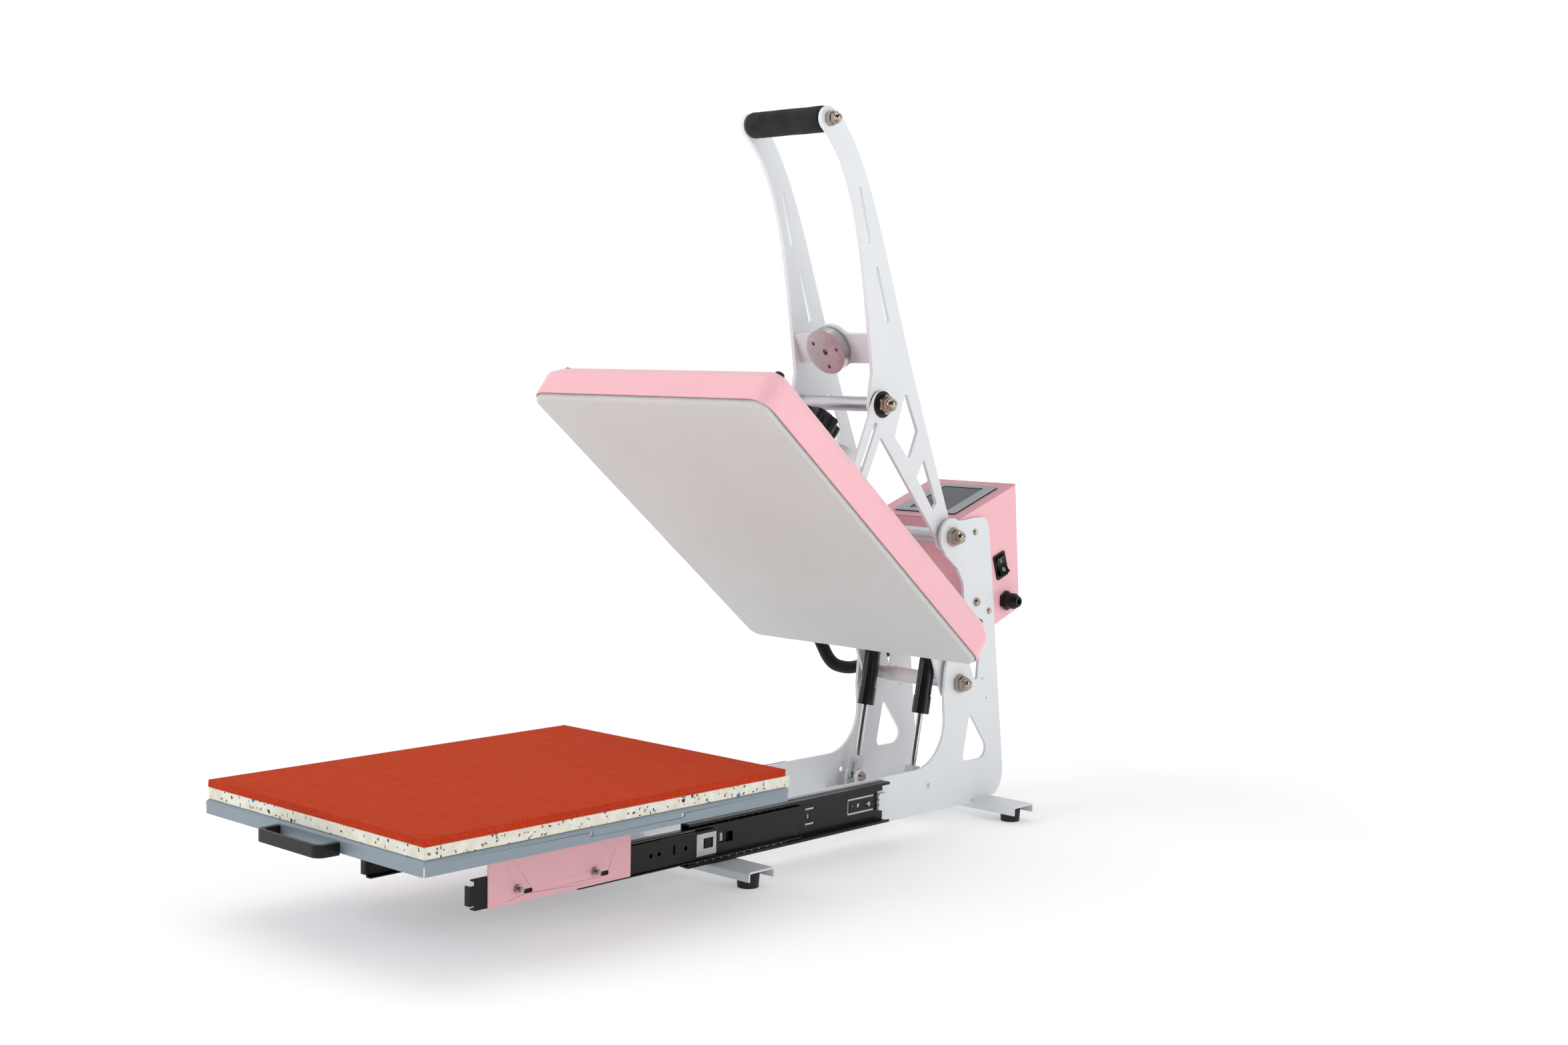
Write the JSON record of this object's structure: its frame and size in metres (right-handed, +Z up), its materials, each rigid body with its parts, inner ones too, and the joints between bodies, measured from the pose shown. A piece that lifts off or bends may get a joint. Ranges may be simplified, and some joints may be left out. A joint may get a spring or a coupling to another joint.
{
  "type": "heat press",
  "caption": "Clamshell heat press with a tilting heated platen, gas-spring opening, a linked foam-grip handle, a magnetic hold-down and a pull-out lower platen on telescopic slides.",
  "frame": {"origin": "on the table under the middle of the machine's outline with the drawer pulled out", "axes": "+Z up, -Y towards the operator, +X towards the switch side; X = 0 is the mid-plane"},
  "size_m": [0.398, 1.135, 0.9245],
  "materials": {
    "white_paint": "satin powder coat",
    "pink_paint": "satin powder coat",
    "panel_paint": "satin powder coat",
    "bright_steel": "nickel plated",
    "zinc_steel": "zinc plated",
    "tube_steel": "plain tube",
    "black_steel": "black electrocoat",
    "spring_black": "gloss black paint",
    "tray_steel": "galvanised sheet",
    "aluminium": "machined",
    "black_rubber": "matt",
    "black_foam": "soft foam",
    "black_plastic": "satin",
    "black_gloss": "gloss",
    "white_nylon": "satin",
    "red_silicone": "soft silicone sponge",
    "board": "bonded fibre board",
    "fabric": "coated glass cloth",
    "wool": "ceramic fibre",
    "grey_plastic": "satin",
    "screen": "gloss",
    "circuit": "circuit board"
  },
  "bodies": {
    "frame": {"side_plate_left": "white_paint", "side_plate_right": "white_paint", "cross_bars": "white_paint", "rubber_feet": "black_rubber", "spring_bracket": "white_paint", "bracket_screws": "bright_steel", "pivot_shafts": "zinc_steel", "lower_pivot_tube": "tube_steel", "lower_pivot_sleeve": "white_nylon", "upper_pivot_tube": "bright_steel", "pivot_spacers": "zinc_steel", "pivot_nuts": "bright_steel", "plate_screws": "bright_steel", "slide_outer_left": "black_steel", "slide_outer_right": "black_steel", "control_box": "pink_paint", "control_panel": "panel_paint", "screen_bezel": "grey_plastic", "screen_glass": "screen", "switch_housing": "black_gloss", "cable_gland": "black_plastic", "control_board": "circuit", "wire_conduit": "black_plastic"},
    "drawer": {"foam_pad": "red_silicone", "press_board": "board", "tray": "tray_steel", "pull_handle": "black_steel", "tray_bracket_left": "pink_paint", "tray_bracket_right": "pink_paint", "bracket_nuts": "bright_steel", "slide_inner_left": "black_steel", "slide_inner_right": "black_steel"},
    "slide_middles": {"slide_middle_left": "black_steel", "slide_middle_right": "black_steel"},
    "head": {"heat_platen": "aluminium", "heating_element": "tube_steel", "insulation": "wool", "platen_cover": "fabric", "head_cover": "pink_paint", "cover_caps": "black_plastic", "carriage": "white_paint", "carriage_pins": "zinc_steel", "electromagnet": "white_paint"},
    "knob": {"pressure_screw": "bright_steel", "pressure_knob": "black_plastic"},
    "handle": {"handle_arm_left": "white_paint", "handle_arm_right": "white_paint", "grip_rod": "zinc_steel", "foam_grip": "black_foam", "armature_plate": "white_paint", "armature_disc": "bright_steel", "handle_cross_tube": "bright_steel", "handle_shaft": "zinc_steel", "handle_washers": "black_plastic", "handle_nuts": "bright_steel"},
    "links": {"link_left": "white_paint", "link_right": "white_paint"},
    "spring_rods": {"spring_rods": "bright_steel"},
    "spring_cylinders": {"spring_cylinders": "spring_black"},
    "rocker": {"switch_rocker": "black_gloss"}
  },
  "joints": [
    {"name": "head_hinge", "type": "hinge", "parent": "frame", "child": "head", "pos_m": [0, 0.4305, 0.187], "axis": [1, 0, 0], "range_deg": [0, 39], "stiffness_Nm_per_rad": 60, "springref_deg": -68.75},
    {"name": "handle_hinge", "type": "hinge", "parent": "frame", "child": "handle", "pos_m": [0, 0.4085, 0.385], "axis": [1, 0, 0], "range_deg": [0, 65.01]},
    {"name": "link_hinge", "type": "hinge", "parent": "handle", "child": "links", "pos_m": [0, 0.2635, 0.56], "axis": [1, 0, 0], "range_deg": [-93.44, 0]},
    {"name": "spring_hinge", "type": "hinge", "parent": "frame", "child": "spring_rods", "pos_m": [0, 0.3685, 0.051], "axis": [1, 0, 0], "range_deg": [0, 11.84]},
    {"name": "spring_slide", "type": "slide", "parent": "spring_rods", "child": "spring_cylinders", "axis": [0, 0.1889, 0.982], "range_m": [-0.03433, 0]},
    {"name": "drawer_slide", "type": "slide", "parent": "frame", "child": "drawer", "axis": [0, 1, 0], "range_m": [0, 0.338]},
    {"name": "middle_slide", "type": "slide", "parent": "frame", "child": "slide_middles", "axis": [0, 1, 0], "range_m": [0, 0.1691]},
    {"name": "knob_turn", "type": "hinge", "parent": "head", "child": "knob", "pos_m": [0, 0.20708, 0.51333], "axis": [0, 0.6293, 0.7771], "range_deg": [-360, 360]},
    {"name": "rocker_tilt", "type": "hinge", "parent": "frame", "child": "rocker", "pos_m": [0.0724, 0.5225, 0.34], "axis": [0, 0.9449, 0.3274], "range_deg": [0, 16]}
  ],
  "couplings": [
    {"joint": "handle_hinge", "follows": "head_hinge", "ratio": 1.6667},
    {"joint": "link_hinge", "follows": "head_hinge", "ratio": -2.3957},
    {"joint": "spring_hinge", "follows": "head_hinge", "ratio": 0.30332},
    {"joint": "spring_slide", "follows": "head_hinge", "m_per_rad": -0.050422},
    {"joint": "middle_slide", "follows": "drawer_slide", "ratio": 0.5}
  ]
}
